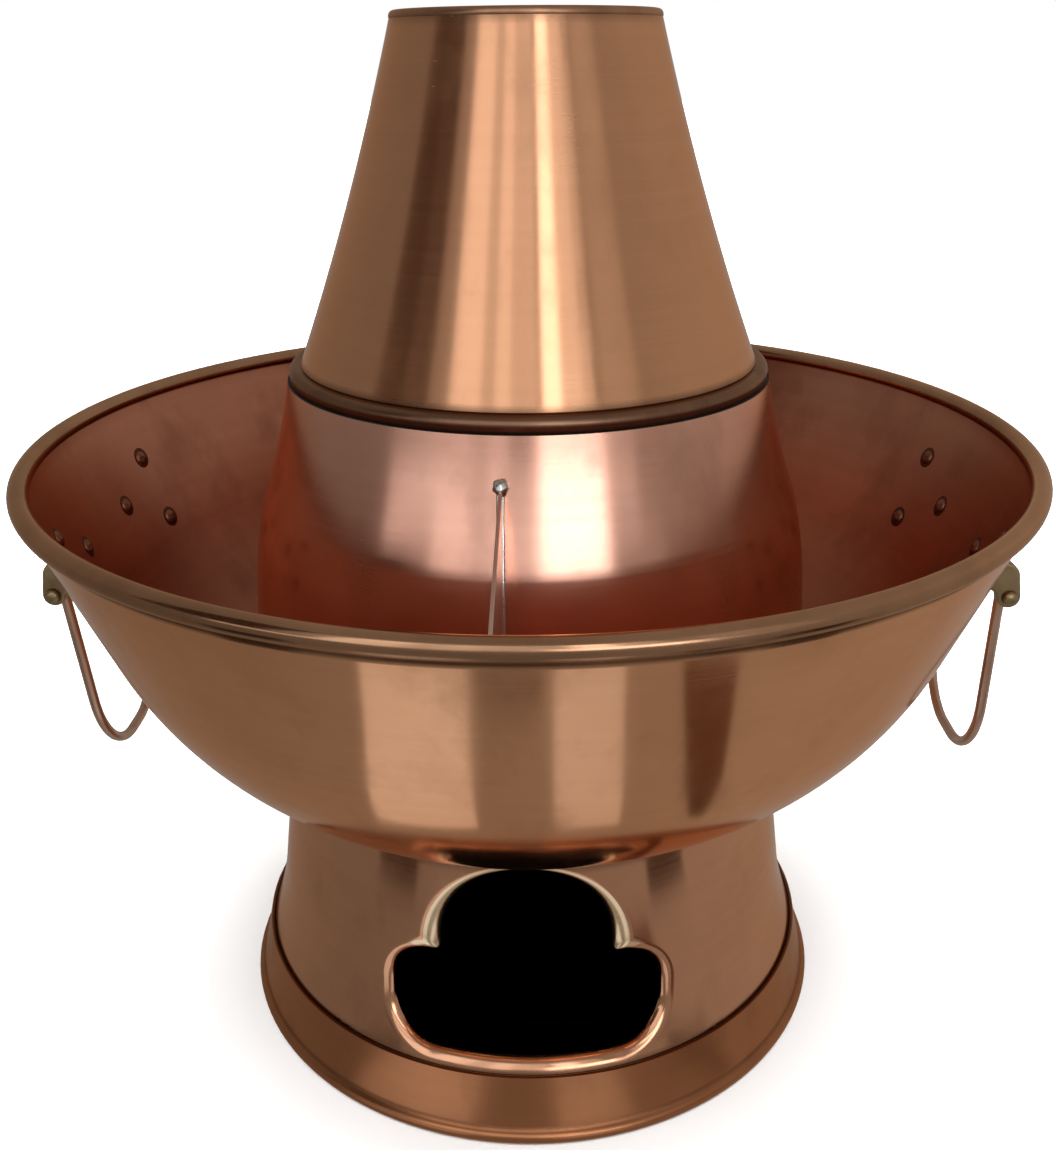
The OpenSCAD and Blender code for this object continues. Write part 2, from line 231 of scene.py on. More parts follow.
def to_mesh(bm, name):
    """Turns a bmesh into a mesh with its faces outwards, and frees it."""
    bmesh.ops.recalc_face_normals(bm, faces=bm.faces)
    mesh = bpy.data.meshes.new(name)
    bm.to_mesh(mesh)
    bm.free()
    return mesh


# ---------------------------------------------------------------- materials

class Nodes:
    """Short calls for building one material's node tree."""

    def __init__(self, name):
        self.material = bpy.data.materials.new(name)
        self.material.use_nodes = True
        self.tree = self.material.node_tree
        self.shader = self.tree.nodes["Principled BSDF"]

    def link(self, source, target):
        self.tree.links.new(source, target)

    def put(self, value, socket):
        if isinstance(value, bpy.types.NodeSocket):
            self.link(value, socket)
        else:
            socket.default_value = value

    def node(self, kind, **settings):
        made = self.tree.nodes.new(kind)
        for key, value in settings.items():
            setattr(made, key, value)
        return made

    def math(self, operation, a, b=0.0, clamp=False):
        made = self.node("ShaderNodeMath", operation=operation, use_clamp=clamp)
        self.put(a, made.inputs[0])
        self.put(b, made.inputs[1])
        return made.outputs[0]

    def remap(self, value, low, high, new_low, new_high):
        made = self.node("ShaderNodeMapRange")
        for i, v in enumerate((value, low, high, new_low, new_high)):
            self.put(v, made.inputs[i])
        return made.outputs[0]

    def mix(self, share, a, b, blend="MIX"):
        made = self.node("ShaderNodeMix", data_type="RGBA", blend_type=blend)
        self.put(share, made.inputs[0])
        self.put(a, made.inputs[6])
        self.put(b, made.inputs[7])
        return made.outputs[2]

    def position(self):
        return self.node("ShaderNodeTexCoord").outputs["Object"]

    def scaled(self, vector, factors):
        made = self.node("ShaderNodeVectorMath", operation="MULTIPLY")
        self.link(vector, made.inputs[0])
        made.inputs[1].default_value = factors
        return made.outputs[0]

    def noise(self, vector, scale, detail=3.0, roughness=0.55):
        made = self.node("ShaderNodeTexNoise")
        self.link(vector, made.inputs["Vector"])
        made.inputs["Scale"].default_value = scale
        made.inputs["Detail"].default_value = detail
        made.inputs["Roughness"].default_value = roughness
        return made.outputs[0]

    def attribute(self, name):
        return self.node("ShaderNodeAttribute", attribute_name=name).outputs["Fac"]

    def bump(self, height, distance, normal=None):
        made = self.node("ShaderNodeBump")
        made.inputs["Distance"].default_value = distance
        self.link(height, made.inputs["Height"])
        if normal is not None:
            self.link(normal, made.inputs["Normal"])
        return made.outputs[0]

    def set(self, **sockets):
        """Puts values on the shader's own sockets and gives the material back."""
        for key, value in sockets.items():
            self.put(value, self.shader.inputs[key.replace("_", " ")])
        return self.material


def shade(colour, factor):
    """Colour made lighter or darker by a factor, with its alpha."""
    return (colour[0] * factor, colour[1] * factor, colour[2] * factor, 1.0)


RINGS_PER_M = 1500.0  # marks of the spinning tool, along the section
WARM_EDGE = (1.0, 0.80, 0.66)
# Colour of grime and of painted shade.
GRIME_AND_SHADE = (0.030, 0.016, 0.009, 1.0)


def spun_copper(name, colour, patina, roughness, anisotropy,
                stain=0.25, wave=1.0, ring_depth=0.010, edge=WARM_EDGE):
    """Copper sheet spun on a lathe: fine rings round the axis, slow tarnish, smudges, and grime and painted
    shade in creases and under overhangs.

    wave and ring_depth are the depths in millimetres of its slow unevenness and of its rings, stain is
    how strong the smudges are, and edge tints what the copper reflects at a grazing angle.
    """
    n = Nodes(name)
    where = n.position()
    flat = n.scaled(where, (1.0, 1.0, 0.0))
    direction = n.node("ShaderNodeVectorMath", operation="NORMALIZE")
    n.link(flat, direction.inputs[0])
    lift = n.node("ShaderNodeCombineXYZ")
    n.link(n.math("MULTIPLY", n.attribute("along"), RINGS_PER_M), lift.inputs["Z"])
    ring_space = n.node("ShaderNodeVectorMath", operation="ADD")
    n.link(direction.outputs[0], ring_space.inputs[0])
    n.link(lift.outputs[0], ring_space.inputs[1])
    rings = n.noise(ring_space.outputs[0], 1.0, 3.0, 0.7)
    wide_rings = n.noise(ring_space.outputs[0], 0.16, 2.0, 0.5)
    tarnish = n.noise(where, 13.0, 4.0, 0.6)
    smudge = n.noise(n.scaled(where, (1.0, 1.0, 0.55)), 42.0, 5.0, 0.62)
    wavy = n.noise(where, 16.0, 1.0, 0.4)

    base = n.mix(n.remap(tarnish, 0.35, 0.72, 0.0, 1.0), shade(colour, 1.0), shade(patina, 1.0))
    base = n.mix(n.remap(smudge, 0.52, 0.70, 0.0, stain), base, shade(patina, 0.62))
    base = n.mix(n.remap(rings, 0.3, 0.7, 0.10, 0.0), base, shade(colour, 0.55))
    base = n.mix(n.remap(wide_rings, 0.35, 0.65, 0.14, 0.0), base, shade(patina, 0.8))
    # Darkening read from the mesh: grime, and painted shade in creases and under overhangs.
    grime_and_shade = n.math("MULTIPLY", n.attribute("grime_and_shade"), n.remap(smudge, 0.3, 0.6, 0.75, 1.0), clamp=True)
    base = n.mix(grime_and_shade, base, GRIME_AND_SHADE)

    rough = n.remap(rings, 0.25, 0.75, roughness - 0.025, roughness + 0.025)
    rough = n.math("ADD", rough, n.remap(smudge, 0.48, 0.72, 0.0, 0.09))
    rough = n.math("ADD", rough, n.math("MULTIPLY", grime_and_shade, 0.20), clamp=True)
    uneven = n.bump(wavy, wave * MM)
    ringed = n.bump(rings, ring_depth * MM, uneven)
    tangent = n.node("ShaderNodeTangent", direction_type="RADIAL", axis="Z")
    return n.set(Base_Color=base, Metallic=1.0, Roughness=rough, Specular_Tint=(*edge, 1.0),
                 Anisotropic=anisotropy, Anisotropic_Rotation=0.25, Tangent=tangent.outputs[0],
                 Normal=ringed)


def worn_metal(name, colour, dark, roughness, grain=300.0, depth=0.05, darkening=0.5):
    """Cast or drawn metal: mottled colour, dark hollows, brighter worn edges and small pits."""
    n = Nodes(name)
    where = n.position()
    mottle = n.noise(where, grain * 0.25, 4.0, 0.6)
    pits = n.noise(where, grain, 4.0, 0.65)
    point = n.node("ShaderNodeNewGeometry").outputs["Pointiness"]
    base = n.mix(n.remap(mottle, 0.35, 0.7, 0.0, 0.7), shade(colour, 1.0), shade(dark, 1.0))
    base = n.mix(n.remap(point, 0.50, 0.44, 0.0, darkening), base, shade(dark, 0.25))
    base = n.mix(n.remap(point, 0.52, 0.60, 0.0, 0.6), base, shade(colour, 1.25))
    rough = n.remap(pits, 0.3, 0.7, roughness - 0.06, roughness + 0.10)
    return n.set(Base_Color=base, Metallic=1.0, Roughness=rough, Normal=n.bump(pits, depth * MM))


def sooty(name, soot, show_through, share, roughness=0.8):
    """Soot and scale over metal, thin enough in places for the metal to show."""
    n = Nodes(name)
    where = n.position()
    cloud = n.noise(where, 22.0, 5.0, 0.62)
    grit = n.noise(where, 420.0, 4.0, 0.7)
    base = n.mix(n.remap(cloud, 0.45, 0.75, 0.0, share), shade(soot, 1.0), shade(show_through, 1.0))
    base = n.mix(n.remap(grit, 0.35, 0.7, 0.35, 0.0), base, shade(soot, 0.4))
    rough = n.remap(grit, 0.3, 0.7, roughness - 0.1, roughness + 0.1)
    return n.set(Base_Color=base, Metallic=0.35, Roughness=rough, Normal=n.bump(grit, 0.15 * MM))


bowl_outside = spun_copper("bowl_outside", (0.84, 0.42, 0.225), (0.72, 0.34, 0.175), 0.13, 0.50,
                           wave=0.4, ring_depth=0.003)
bowl_inside = spun_copper("bowl_inside", (0.69, 0.295, 0.185), (0.52, 0.205, 0.12), 0.30, 0.50, stain=0.35)
rim_skin = spun_copper("rim_skin", (0.66, 0.36, 0.205), (0.42, 0.21, 0.115), 0.14, 0.30,
                       wave=0.3, ring_depth=0.002)
tube_skin = spun_copper("tube_skin", (0.93, 0.50, 0.365), (0.83, 0.40, 0.275), 0.19, 0.20,
                        stain=0.30, wave=0.2, ring_depth=0.002, edge=(1.0, 0.66, 0.50))
chimney_skin = spun_copper("chimney_skin", (0.88, 0.44, 0.24), (0.80, 0.39, 0.21), 0.20, 0.95,
                           stain=0.08, wave=0.4, ring_depth=0.002)
foot_skin = spun_copper("foot_skin", (0.80, 0.41, 0.24), (0.68, 0.33, 0.19), 0.14, 0.50, ring_depth=0.003)
band_skin = spun_copper("band_skin", (0.54, 0.22, 0.10), (0.43, 0.17, 0.075), 0.30, 0.30)
# Lighter copper for the upper lobe of the vent's lip: a painted highlight.
lip_painted_highlight = spun_copper("lip_painted_highlight", (1.0, 0.76, 0.50), (0.96, 0.66, 0.40), 0.22, 0.0,
                       stain=0.10, edge=(1.0, 0.62, 0.34))
seam_brown = spun_copper("seam_brown", (0.34, 0.18, 0.11), (0.20, 0.10, 0.06), 0.34, 0.2, stain=0.6)
hem_copper = spun_copper("hem_copper", (0.62, 0.33, 0.19), (0.40, 0.20, 0.12), 0.34, 0.5, stain=0.5)
chimney_inside = spun_copper("chimney_inside", (0.44, 0.25, 0.16), (0.26, 0.15, 0.10), 0.42, 0.4, stain=0.7)
soot = sooty("soot", (0.010, 0.009, 0.008), (0.06, 0.03, 0.018), 0.5)
ash = sooty("ash", (0.030, 0.028, 0.026), (0.16, 0.15, 0.14), 0.6, 0.9)
plate_skin = worn_metal("plate_skin", (0.80, 0.62, 0.54), (0.62, 0.42, 0.34), 0.34, 220.0, 0.02)
solder_skin = worn_metal("solder_skin", (0.72, 0.71, 0.68), (0.46, 0.45, 0.43), 0.26, 260.0, 0.10)
brass_skin = worn_metal("brass_skin", (0.47, 0.33, 0.18), (0.23, 0.15, 0.085), 0.42, 420.0, 0.05, 0.8)
rivet_skin = worn_metal("rivet_skin", (0.32, 0.14, 0.085), (0.16, 0.06, 0.035), 0.40, 500.0, 0.03, 0.9)
knob_skin = worn_metal("knob_skin", (0.42, 0.31, 0.16), (0.22, 0.15, 0.08), 0.40, 420.0, 0.04, 0.8)
rivet_grime = worn_metal("rivet_grime", (0.17, 0.055, 0.03), (0.09, 0.025, 0.013), 0.45, 300.0, 0.03, 0.9)
iron_skin = worn_metal("iron_skin", (0.085, 0.078, 0.072), (0.070, 0.042, 0.028), 0.62, 320.0, 0.25, 0.6)
wire_skin = worn_metal("wire_skin", (0.74, 0.48, 0.36), (0.50, 0.29, 0.20), 0.30, 260.0, 0.02)


# ---------------------------------------------------------------- bowl, fire tube and seat

def make_bowl():
    """Moat bowl with its rolled rim, shiny outside, duller inside and sooty under the fire."""
    lean = math.degrees(WALL_LEAN)
    end_out = -math.degrees(math.asin((BELLY_C[1] - FLOOR_Z) / BELLY_R))
    inner_r = BELLY_R - SHEET
    floor_top = FLOOR_Z + SHEET
    end_in = -math.degrees(math.asin((BELLY_C[1] - floor_top) / inner_r))
    wall_in = SHEET / math.cos(WALL_LEAN)
    covered_r = tube_high.x
    tuck_z = RIM_C[1] - BEAD_R - 1.2
    lip_z = RIM_C[1] - BEAD_R + 0.4
    joint_r, shadow_r = SKIRT_TOP_R + 1.5, SKIRT_TOP_R + 9

    o = Outline()
    # Painted shade just under the rim's bead.
    o.add([(wall_r(tuck_z), tuck_z)], 0, 0.85)
    o.add(split((wall_r(tuck_z - 1.5), tuck_z - 1.5), (wall_r(BELLY_TOP_Z), BELLY_TOP_Z), 12), 0)
    outer = arc(BELLY_C, BELLY_R, -lean, end_out, 56)
    o.add([p for p in outer if p[0] > shadow_r], 0)
    # Painted shade: the belly darkens towards the skirt, darkest at the joint.
    o.add([p for p in outer if joint_r < p[0] <= shadow_r], 0, 0.05, 0.55)
    o.add([(SKIRT_TOP_R + 0.4, belly_z(SKIRT_TOP_R + 0.4))], 0, 0.7)
    o.add([p for p in outer if p[0] <= SKIRT_TOP_R] + [(AIR_HOLE_R, FLOOR_Z)], 2, 0.3)
    o.add([(AIR_HOLE_R, floor_top), (FLOOR_R, floor_top)], 2, 0.3)
    inner = arc(BELLY_C, inner_r, end_in, -lean, 56)
    o.add([p for p in inner if p[0] <= covered_r], 2)
    o.add([p for p in inner if p[0] > covered_r], 1, 0.35, 0.0)
    o.add(split((wall_r(BELLY_TOP_Z) - wall_in, BELLY_TOP_Z), (wall_r(lip_z) - wall_in, lip_z), 12), 1)
    o.add([(wall_r(lip_z + 0.5) - wall_in - 0.1, lip_z + 0.5)], 1, 0.45)
    o.add(arc(RIM_C, BEAD_R, 208, 120, 14), 3, 0.5, 0.0)
    o.add(arc(RIM_C, BEAD_R, 120, 35, 14)[1:], 3)
    # Painted shade: the bead darkens towards its underside.
    o.add(arc(RIM_C, BEAD_R, 35, -100, 22)[1:], 3, 0.1, 0.75)
    skins = [bowl_outside, bowl_inside, soot, rim_skin]
    lathe("bowl", o, skins, "pot", ["bowl_shell", "rim_wire"], 55)


def tube_lines():
    """Outer section of the fire tube, from its foot to its mouth."""
    foot = (tube_high.x, tube_low.z)
    body = math.atan2(foot[0] - TUBE_BEND[0], TUBE_BEND[1] - foot[1])
    cone = math.atan2(TUBE_BEND[0] - TUBE_MOUTH_R, tube_high.z - TUBE_BEND[1])
    reach = TUBE_BEND_R * math.tan((cone - body) / 2)
    start = (TUBE_BEND[0] + reach * math.sin(body), TUBE_BEND[1] - reach * math.cos(body))
    centre = (start[0] - TUBE_BEND_R * math.cos(body), start[1] - TUBE_BEND_R * math.sin(body))
    bend = arc(centre, TUBE_BEND_R, math.degrees(body), math.degrees(cone), 24)
    steps = 12
    upper = split(bend[-1], (TUBE_MOUTH_R, tube_high.z), steps)
    sag = [4 * TUBE_SAG * (i / steps) * (1 - i / steps) for i in range(steps + 1)]
    return split(foot, start, 10) + bend[1:] + [(x - d, z) for (x, z), d in zip(upper, sag)][1:]


TUBE_OUTER = tube_lines()


def tube_r(z):
    """Outer radius of the fire tube."""
    for a, b in zip(TUBE_OUTER, TUBE_OUTER[1:]):
        if a[1] <= z <= b[1]:
            return a[0] + (b[0] - a[0]) * (z - a[1]) / max(TINY, b[1] - a[1])
    return TUBE_OUTER[-1][0]


def make_fire_tube():
    """Tube and cone round the fire, sooty inside, with a fillet of brown brazing at its foot."""
    o = Outline()
    foot = TUBE_OUTER[0]
    o.add([(foot[0] + 0.9, foot[1] + 0.45), (foot[0] + 0.35, foot[1] + 1.0)], 2, 0.5)
    o.add([p for p in TUBE_OUTER if p[1] > foot[1] + 1.5], 0, 0.25, 0.0)
    o.add([(x - SHEET, z) for x, z in reversed(TUBE_OUTER)], 1)
    lathe("fire_tube_skin", o, [tube_skin, soot, seam_brown], "pot", ["fire_tube"], 50)


def make_seat():
    """Brazed seat of the chimney: a round-backed ring that stands on the tube's mouth."""
    top, low = seat_high.z, seat_low.z
    bore = 70.6
    section_r = (top - low) / 2
    centre = (seat_high.x - section_r, low + section_r)
    shoulder = TUBE_MOUTH_R - 0.8
    o = Outline()
    o.add(split((shoulder - 0.3, low), (bore, low), 2), 0, 0.15)
    o.add([(bore, top - 0.4), (bore + 0.4, top)], 0, 0.15)
    o.add(arc(centre, section_r, 88, -22, 18), 0)
    o.add([(shoulder, low + 0.3)], 0, 0.15)
    lathe("chimney_seat_ring", o, [seam_brown], "pot", ["chimney_seat"], 45)


# ---------------------------------------------------------------- chimney

CHIMNEY_SHEET = 0.8
SPIGOT_SHEET = 1.0
HEM_R = 1.6
HEM_C = (38.0, chimney_high.z - HEM_R)
CHIMNEY_SAG = 1.6  # how far the chimney's side sinks in at its middle


def chimney_lines():
    """Outer section of the chimney, from its foot up to the hem."""
    steps = 44
    straight = split((chimney_high.x, chimney_low.z), (HEM_C[0] + HEM_R - 0.1, HEM_C[1] - 0.6), steps)
    sag = [4 * CHIMNEY_SAG * (i / steps) * (1 - i / steps) for i in range(steps + 1)]
    return [(x - d, z) for (x, z), d in zip(straight, sag)]


def make_chimney():
    """Chimney of thin polished sheet, browner inside."""
    outer = chimney_lines()
    o = Outline()
    o.add([(outer[0][0] - 0.3, outer[0][1]), (outer[0][0] - 0.05, outer[0][1] + 0.35)], 0, 0.6)
    o.add(outer[1:-1], 0)
    # Painted shade just under the hem.
    o.add(outer[-1:], 0, 0.35)
    o.add([(x - CHIMNEY_SHEET, z) for x, z in reversed(outer)], 1)
    skins = [chimney_skin, chimney_inside]
    lathe("chimney", o, skins, "chimney", ["chimney_shell"], 45)


def make_hem():
    """Wired hem round the chimney's mouth, darker in painted shade where it meets the sheet."""
    o = Outline()
    o.add(arc(HEM_C, HEM_R, -20, 0, 3), 0, 0.5, 0.1)
    o.add(arc(HEM_C, HEM_R, 9, 240, 28), 0)
    o.add(arc(HEM_C, HEM_R, 250, 330, 8), 0, 0.6)
    lathe("chimney_hem", o, [hem_copper], "chimney", ["chimney_wire"], 60)


def make_spigot():
    """Sleeve under the chimney that drops into its seat, its lower edge turned in a little."""
    outer_r, low, high = spigot_high.x, spigot_low.z, spigot_high.z
    inner_r = outer_r - SPIGOT_SHEET
    o = Outline()
    o.add(split((outer_r, high), (outer_r, low + 1.0), 6), 0, 0.2)
    o.add([(outer_r - 0.45, low), (inner_r + 0.2, low)], 0, 0.3)
    o.add(split((inner_r, low + 0.4), (inner_r, high), 6), 1, 0.2)
    skins = [chimney_inside, soot]
    lathe("spigot_sleeve", o, skins, "chimney", ["chimney_spigot"], 40)


# ---------------------------------------------------------------- foot

SKIRT_LEAN = math.atan2(WAIST[0] - SKIRT_TOP_R, skirt_high.z - WAIST[1])
LIP_W = 3.2  # the vent's lip, but for the sides of its upper lobe
FLARE_C = (WAIST[0] + FLARE_R * math.cos(SKIRT_LEAN), WAIST[1] + FLARE_R * math.sin(SKIRT_LEAN))


def skirt_r(z):
    """Outer radius of the foot's skirt."""
    if z >= WAIST[1]:
        share = (z - WAIST[1]) / (skirt_high.z - WAIST[1])
        return WAIST[0] + (SKIRT_TOP_R - WAIST[0]) * share
    return FLARE_C[0] - math.sqrt(FLARE_R ** 2 - (max(z, CREASE_Z) - FLARE_C[1]) ** 2)


def vent_reach(direction, grow):
    """Distance from the vent's middle to its outline grown by grow, along a direction."""
    low_z = VENT_BOTTOM_Z + VENT_SIDE_R
    high_z = VENT_BOTTOM_Z + VENT_SIDE_H - VENT_SIDE_R
    circles = [(VENT_TOP[0], VENT_TOP[1], VENT_TOP[2] + grow)]
    for side in (-1, 1):
        circles += [(side * VENT_SIDE_X, z, VENT_SIDE_R + grow) for z in (low_z, high_z)]
    best = 0.0
    for x, z, r in circles:
        dx, dz = VENT_MID[0] - x, VENT_MID[1] - z
        half = dx * direction[0] + dz * direction[1]
        inside = half * half - (dx * dx + dz * dz - r * r)
        if inside > 0:
            best = max(best, -half + math.sqrt(inside))
    if abs(direction[0]) > TINY:
        t = (VENT_SIDE_X + VENT_SIDE_R + grow) / abs(direction[0])
        if low_z <= VENT_MID[1] + t * direction[1] <= high_z:
            best = max(best, t)
    if direction[1] < -TINY:
        t = (VENT_MID[1] - VENT_BOTTOM_Z + grow) / -direction[1]
        if abs(t * direction[0]) <= VENT_SIDE_X:
            best = max(best, t)
    return best


def on_skirt(direction, t, depth):
    """Point of the front of the skirt, t from the vent's middle and depth under the outer face."""
    x = VENT_MID[0] + t * direction[0]
    z = min(VENT_MID[1] + t * direction[1], skirt_high.z)
    r = skirt_r(z)
    share = (r - depth) / r
    return Vector((x * share, -math.sqrt(r * r - x * x) * share, z)) * MM


def lip_width(direction):
    """Width of the vent's turned-in lip: broad beside the upper lobe, narrow on top and below."""
    up = math.asin(max(-1.0, min(1.0, direction[1])))
    side = 5.4 * max(0.0, math.cos(up)) ** 0.6
    share = min(1.0, max(0.0, (math.degrees(up) - 13) / 8))  # grows from 13 to 21 degrees up
    wide = LIP_W + (side - LIP_W) * share * share * (3 - 2 * share)
    if direction[1] > 0.3:  # keep the lip under the skirt's top
        edge_z = VENT_MID[1] + vent_reach(direction, 0.0) * direction[1]
        wide = min(wide, (skirt_high.z - 0.25 - edge_z) / direction[1])
    return max(wide, SHEET + 0.1)


def lip_depth(width):
    """How far a lip of that width turns in."""
    return min(4.4, max(2.0, width * 0.9))


def skirt_painted_shade(z):
    """Painted shade of the skirt: darker under the bowl and just above the crease."""
    return max(0.0, 0.85 - (skirt_high.z - z) * 0.22, 0.6 - (z - CREASE_Z) * 0.35)


def patch_rays(heights, edge_turn):
    """Direction, distance to the patch's border and lip width, for each spoke from the vent's middle."""
    low, high = heights[0], heights[-1]
    steps = 72
    shares = [1 - i / steps for i in range(1, 2 * steps)]
    border = [(skirt_r(z) * math.sin(edge_turn), z) for z in heights]
    border += [(skirt_r(high) * math.sin(edge_turn * share), high) for share in shares]
    border += [(-skirt_r(z) * math.sin(edge_turn), z) for z in reversed(heights)]
    border += [(-skirt_r(low) * math.sin(edge_turn * share), low) for share in shares]
    rays = []
    for x, z in border:
        far = math.dist(VENT_MID, (x, z))
        direction = ((x - VENT_MID[0]) / far, (z - VENT_MID[1]) / far)
        rays.append((direction, far, lip_width(direction)))
    reach = 3
    widths = [width for _, _, width in rays]
    near = range(-reach, reach + 1)
    smooth = [sum(widths[(i + k) % len(widths)] for k in near) / len(near) for i in range(len(widths))]
    return [(direction, far, min(width, even)) for (direction, far, width), even in zip(rays, smooth)]


def make_skirt():
    """Skirt of the foot: a turned wall, with a patch round the vent whose edge turns inwards as a lip."""
    half_patch = 30  # segments on each side of the vent's middle that belong to the patch
    rows, lip_steps, wall_steps = 48, 7, 16
    heights = [skirt_low.z + (skirt_high.z - skirt_low.z) * i / rows for i in range(rows + 1)]
    step = 2 * math.pi / SEGMENTS
    rays = patch_rays(heights, half_patch * step)
    bm = bmesh.new()
    along = bm.verts.layers.float.new("along")
    grime_and_shade = bm.verts.layers.float.new("grime_and_shade")

    def vert(co, darkening=0.0):
        v = bm.verts.new(co)
        v[along] = co[2]
        v[grime_and_shade] = darkening
        return v

    # The upper lobe's lip takes the lighter copper, a painted highlight.
    def lip_highlight_slot(k):
        upper_lobe = rays[k][0][1] > 0.28
        return 2 if upper_lobe else 0

    for slot, depth in ((0, 0.0), (1, SHEET)):
        columns = []
        for i in range(half_patch, SEGMENTS - half_patch + 1):
            across, ahead = math.sin(i * step) * MM, -math.cos(i * step) * MM
            columns.append([vert(((skirt_r(z) - depth) * across, (skirt_r(z) - depth) * ahead, z * MM),
                                 skirt_painted_shade(z)) for z in heights])
        for a, b in zip(columns, columns[1:]):
            join(bm, a, b, slot, closed=False)

    layers = []
    for under in (0.0, SHEET):
        rings = []
        for i in range(lip_steps + 1):
            a = math.radians(90 * (1 - i / lip_steps))
            ring = []
            for direction, _, width in rays:
                grow = width - (width - under) * math.sin(a)
                depth = lip_depth(width) - (lip_depth(width) - under) * math.cos(a)
                ring.append(vert(on_skirt(direction, vent_reach(direction, grow), depth)))
            rings.append(ring)
        for i in range(1, wall_steps + 1):
            share = (i / wall_steps) ** 1.3
            ring = []
            for direction, far, width in rays:
                near = vent_reach(direction, width)
                place = on_skirt(direction, near + (far - near) * share, under)
                ring.append(vert(place, skirt_painted_shade(place.z / MM)))
            rings.append(ring)
        layers.append(rings)
    for rings, slot in zip(layers, (0, 1)):
        for i, (a, b) in enumerate(zip(rings, rings[1:])):
            join(bm, a, b, lip_highlight_slot if slot == 0 and i < lip_steps - 1 else slot)
    join(bm, layers[0][0], layers[1][0], lip_highlight_slot)
    bmesh.ops.remove_doubles(bm, verts=bm.verts, dist=0.004 * MM)
    middle = VENT_MID[1] * MM
    edges = [e for e in bm.edges if e.is_boundary]
    bmesh.ops.bridge_loops(bm, edges=[e for e in edges if e.verts[0].co.z > middle])
    bmesh.ops.bridge_loops(bm, edges=[e for e in edges if e.is_valid and e.verts[0].co.z < middle])
    materials, replaced = [foot_skin, soot, lip_painted_highlight], ["foot_skirt", "vent_frame"]
    finish_piece("skirt", to_mesh(bm, "skirt"), materials, "pot", replaced, 50)


def make_foot_band():
    """Flared band under the crease: its wall bends evenly past a knee into the rolled lower edge."""
    roll_c = (band_high.x - ROLL_R, 2.2)
    top_r = skirt_r(CREASE_Z) + SHEET + 0.2
    knee = (top_r + 2.4, 10.0)
    end = (roll_c[0] + SHEET / 2, roll_c[1] + 1.8)
    steps = 12
    upper = split((top_r, CREASE_Z), knee, steps)
    lower = split(knee, end, steps)
    wall = [(a[0] + (b[0] - a[0]) * i / steps, a[1] + (b[1] - a[1]) * i / steps)
            for i, (a, b) in enumerate(zip(upper, lower))]
    o = Outline()
    # Painted shade: darker in the crease under the skirt, fading down the band.
    o.add([(top_r - SHEET + 0.1, CREASE_Z - 0.3), (top_r - 0.35, CREASE_Z)], 0, 0.8, 0.4)
    o.add(wall[:-2], 0)
    o.add([wall[-2]], 0, 0.45)
    flat = math.degrees(math.asin(roll_c[1] / ROLL_R))
    o.add(arc(roll_c, ROLL_R, 62, -flat, 22), 0)
    o.add(arc(roll_c, ROLL_R, -180 + flat, -238, 18), 0, 0.2)
    o.add([(x - SHEET, z) for x, z in reversed(wall)], 1)
    lathe("foot_ring", o, [band_skin, soot], "pot", ["foot_band", "foot_wire"], 50)


def make_ash_floor():
    """Floor of the ash chamber: a turned disc, dished a little, with a shallow bead near its edge."""
    low, high, edge_r = ash_low.z, ash_high.z, ash_high.x
    middle_r, steps, sides = 3.0, 28, 128

    def ring(r, z):
        turns = [2 * math.pi * k / sides for k in range(sides)]
        return [bm.verts.new((r * math.cos(a) * MM, r * math.sin(a) * MM, z * MM)) for a in turns]

    bm = bmesh.new()
    top, under = [], []
    for i in range(steps + 1):
        r = middle_r + (edge_r - middle_r) * i / steps
        bead = 0.35 * math.exp(-((r - edge_r + 9) / 2.5) ** 2)
        dish = bead - 0.45 if r < edge_r - 2 else 0.0
        top.append(ring(r, high + dish))
        under.append(ring(r, low))
    for rings in (top, under):
        for a, b in zip(rings, rings[1:]):
            join(bm, a, b)
        bm.faces.new(rings[0])
    join(bm, top[-1], under[-1])
    finish_piece("ash_pan", to_mesh(bm, "ash_pan"), [ash], "pot", ["ash_floor"], 40)


# ---------------------------------------------------------------- dividers and solder

DIVIDER_OFF = 5.8  # the plates' distance from the pot's middle plane
DIVIDER_TUBE_Z = 209.0
DIVIDER_WALL_Z = 192.0
DIVIDER_THICK = 1.0
SEAM_GAP = 0.05


def divider_outline():
    """Outline of a divider in its own plane: distance from the axis, height."""
    wall_in = SHEET / math.cos(WALL_LEAN) + SEAM_GAP
    inner_r = BELLY_R - SHEET
    foot_r = tube_high.x + 0.1
    points = [(foot_r, belly_z(foot_r, inner_r) + SEAM_GAP)]
    points += [(x + SEAM_GAP, z) for x, z in TUBE_OUTER if points[0][1] + 1 < z < DIVIDER_TUBE_Z - 1]
    points.append((tube_r(DIVIDER_TUBE_Z) + SEAM_GAP, DIVIDER_TUBE_Z))
    points += [(wall_r(z) - wall_in, z) for z in (DIVIDER_WALL_Z, BELLY_TOP_Z)]
    belly = arc(BELLY_C, inner_r, -math.degrees(WALL_LEAN), -80, 40)
    return points + [(x - SEAM_GAP, z + 0.03) for x, z in belly if x > foot_r + 1]


def beside_axis(end, r, side, z):
    """Point of a divider, r from the axis and side off its middle plane; end is -1 for the front one."""
    return Vector((end * DIVIDER_OFF + side, end * math.sqrt(r * r - DIVIDER_OFF ** 2), z))


